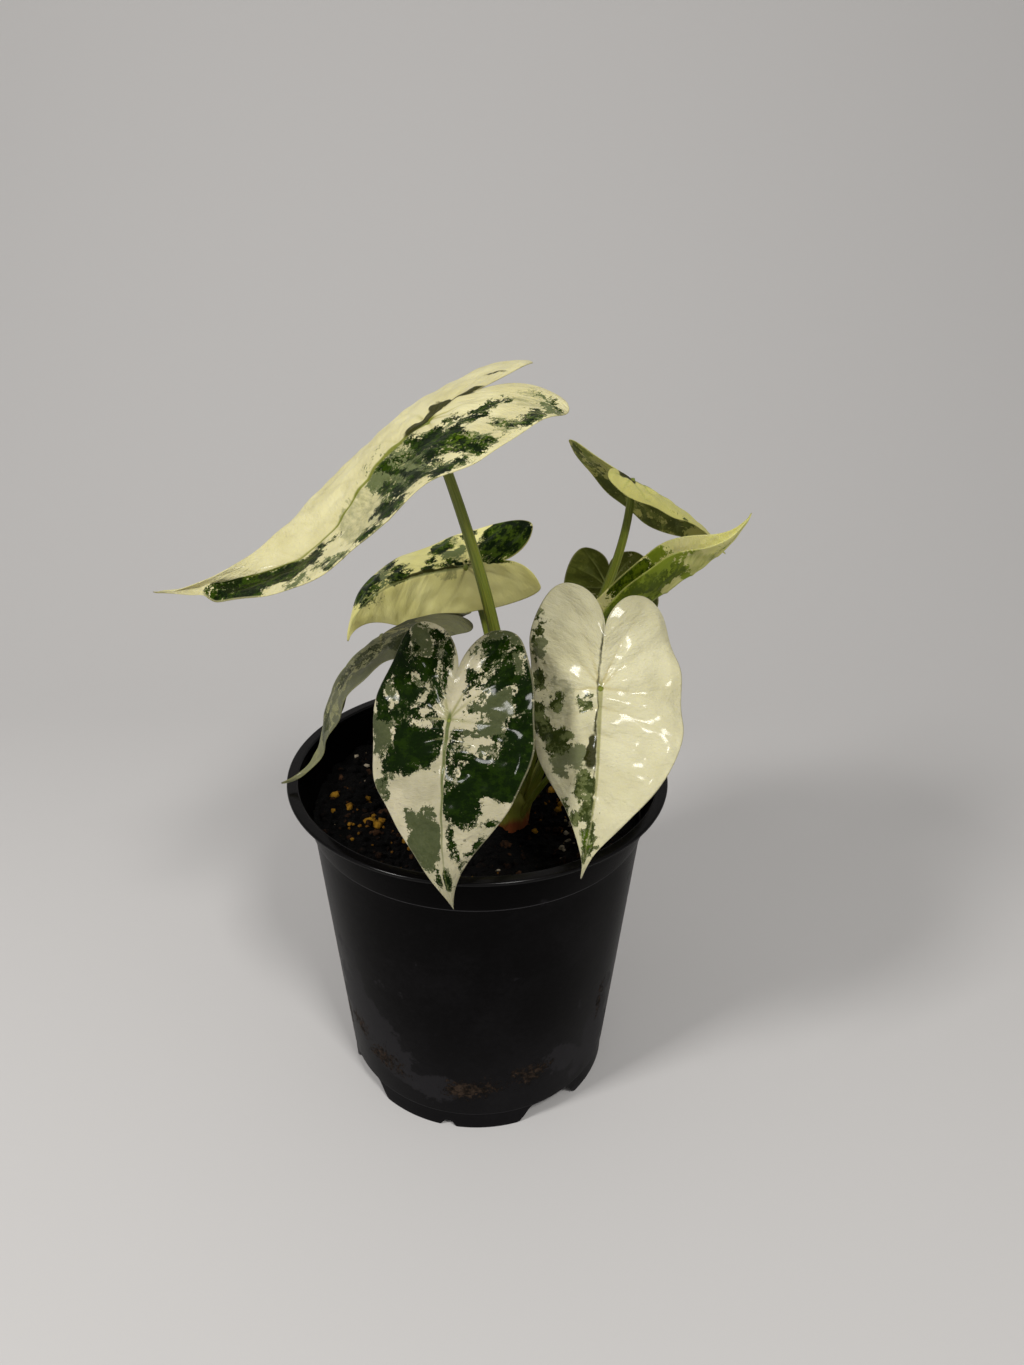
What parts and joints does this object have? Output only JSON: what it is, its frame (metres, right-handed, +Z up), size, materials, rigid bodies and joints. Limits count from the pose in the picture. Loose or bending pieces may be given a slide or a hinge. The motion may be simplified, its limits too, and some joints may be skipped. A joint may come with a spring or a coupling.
{
  "type": "potted variegated alocasia",
  "caption": "Young alocasia with arrow-shaped cream and green variegated leaves on long petioles, rooted in soil in a round tapered nursery pot.",
  "frame": {"origin": "on the surface it stands on, under the pot's axis, which is also within 2 mm of the middle of the whole plant's footprint", "axes": "+Z up along the pot's axis; -Y toward the front, where the two heart-shaped leaves face; +X to the right of the front"},
  "size_m": [0.2147, 0.1836, 0.3252],
  "materials": {
    "pot_plastic": "black satin plastic, dusty, with dried soil smears",
    "soil": "dark moist peat with bark crumbs, light specks and orange and white crumbs",
    "stem_green": "smooth yellow-green petioles with fine long ridges, reddish at the soil",
    "leaf_variegated": "satin leaf skin, cream, grey-green and dark green in marbled fields, with sunken veins and small glossy highlights"
  },
  "bodies": {
    "root": {"pot": "pot_plastic", "soil": "soil", "stem_and_petioles": "stem_green", "leaf_tall_left": "leaf_variegated", "leaf_middle_left": "leaf_variegated", "leaf_front_dark": "leaf_variegated", "leaf_front_pale": "leaf_variegated", "leaf_low_left": "leaf_variegated", "leaf_high_right": "leaf_variegated", "leaf_new_right": "leaf_variegated", "leaf_back": "leaf_variegated"}
  },
  "joints": []
}
